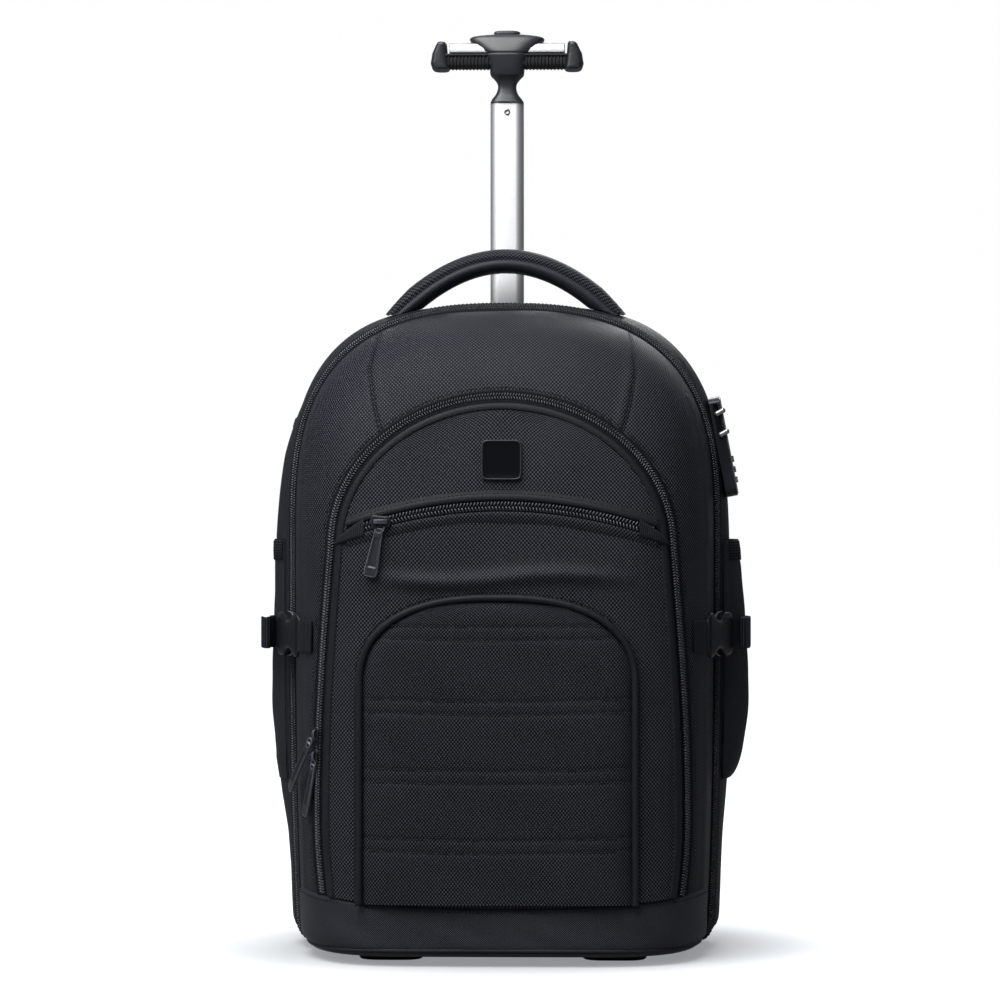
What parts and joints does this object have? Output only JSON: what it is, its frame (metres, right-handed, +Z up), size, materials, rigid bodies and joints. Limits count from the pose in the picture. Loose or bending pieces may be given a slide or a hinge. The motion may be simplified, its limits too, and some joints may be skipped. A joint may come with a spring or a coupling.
{
  "type": "wheeled backpack",
  "caption": "Wheeled backpack: soft rucksack body with arched front pockets, side buckles, carry handle, shoulder straps and a telescopic T-grip handle.",
  "frame": {"origin": "on the floor, under the middle of the whole object's box", "axes": "+X to the right seen from the front, +Y from the front towards the shoulder straps, +Z up"},
  "size_m": [0.3938, 0.249, 0.7445],
  "materials": {
    "nylon": "fine diagonal weave, matt",
    "harness": "padded air mesh, matt",
    "binding": "plain smooth cloth",
    "zip_coil": "black nylon coil",
    "webbing": "ribbed webbing",
    "hard_black": "grained moulded plastic",
    "dial_black": "black, with pale numbers",
    "gunmetal": "gloss black plating",
    "aluminium": "satin anodised",
    "steel": "plain",
    "rubber": "matt"
  },
  "bodies": {
    "bag": {"rear_shell": "nylon", "front_shell": "nylon", "front_pocket": "nylon", "lower_pocket": "nylon", "carry_handle": "nylon", "side_pocket_left": "nylon", "side_pocket_right": "nylon", "back_pad": "harness", "shoulder_strap_left": "harness", "shoulder_strap_right": "harness", "base_band": "binding", "lower_piping": "binding", "main_zip": "zip_coil", "front_zip": "zip_coil", "pocket_zip": "zip_coil", "strap_front_left": "webbing", "strap_front_right": "webbing", "strap_rear_left": "webbing", "strap_rear_right": "webbing", "strap_webbing_left": "webbing", "strap_webbing_right": "webbing", "base_tray": "hard_black", "side_toggle": "hard_black", "lock_body": "hard_black", "buckle_socket_left": "hard_black", "buckle_socket_right": "hard_black", "buckle_plug_left": "hard_black", "buckle_plug_right": "hard_black", "wheel_housing_left": "hard_black", "wheel_housing_right": "hard_black", "pocket_slider": "gunmetal", "pocket_puller": "gunmetal", "badge": "gunmetal", "front_slider_upper": "gunmetal", "front_puller_upper": "gunmetal", "front_slider_lower": "gunmetal", "front_puller_lower": "gunmetal", "main_slider_upper": "gunmetal", "main_slider_lower": "gunmetal", "outer_tube": "aluminium", "axle_left": "steel", "axle_right": "steel", "foot_left": "rubber", "foot_right": "rubber"},
    "middle_stage": {"middle_tube": "aluminium"},
    "top_stage": {"top_tube": "aluminium", "tube_screw": "aluminium", "grip_core": "hard_black", "grip_bar": "aluminium", "grip_sleeve_left": "rubber", "grip_sleeve_right": "rubber", "grip_cap_left": "hard_black", "grip_cap_right": "hard_black"},
    "button": {"release_button": "hard_black"},
    "wheel_left": {"wheel_left": "rubber"},
    "wheel_right": {"wheel_right": "rubber"},
    "dial_1": {"lock_dial_1": "dial_black"},
    "dial_2": {"lock_dial_2": "dial_black"},
    "dial_3": {"lock_dial_3": "dial_black"}
  },
  "joints": [
    {"name": "middle_slide", "type": "slide", "parent": "bag", "child": "middle_stage", "axis": [0, 0, 1], "range_m": [0, 0.2]},
    {"name": "top_slide", "type": "slide", "parent": "middle_stage", "child": "top_stage", "axis": [0, 0, 1], "range_m": [-0.16, 0]},
    {"name": "button_press", "type": "slide", "parent": "top_stage", "child": "button", "axis": [0, 0, -1], "range_m": [0, 0.003], "stiffness_N_per_m": 600},
    {"name": "wheel_left_turn", "type": "hinge", "parent": "bag", "child": "wheel_left", "pos_m": [-0.121, 0.07071, 0.032], "axis": [1, 0, 0], "continuous": true},
    {"name": "wheel_right_turn", "type": "hinge", "parent": "bag", "child": "wheel_right", "pos_m": [0.121, 0.07071, 0.032], "axis": [1, 0, 0], "continuous": true},
    {"name": "dial_1_turn", "type": "hinge", "parent": "bag", "child": "dial_1", "pos_m": [0.18158, 0.01131, 0.37374], "axis": [-0.1876, 0, 0.9823], "continuous": true},
    {"name": "dial_2_turn", "type": "hinge", "parent": "bag", "child": "dial_2", "pos_m": [0.18, 0.01131, 0.38199], "axis": [-0.1876, 0, 0.9823], "continuous": true},
    {"name": "dial_3_turn", "type": "hinge", "parent": "bag", "child": "dial_3", "pos_m": [0.17843, 0.01131, 0.39024], "axis": [-0.1876, 0, 0.9823], "continuous": true}
  ]
}
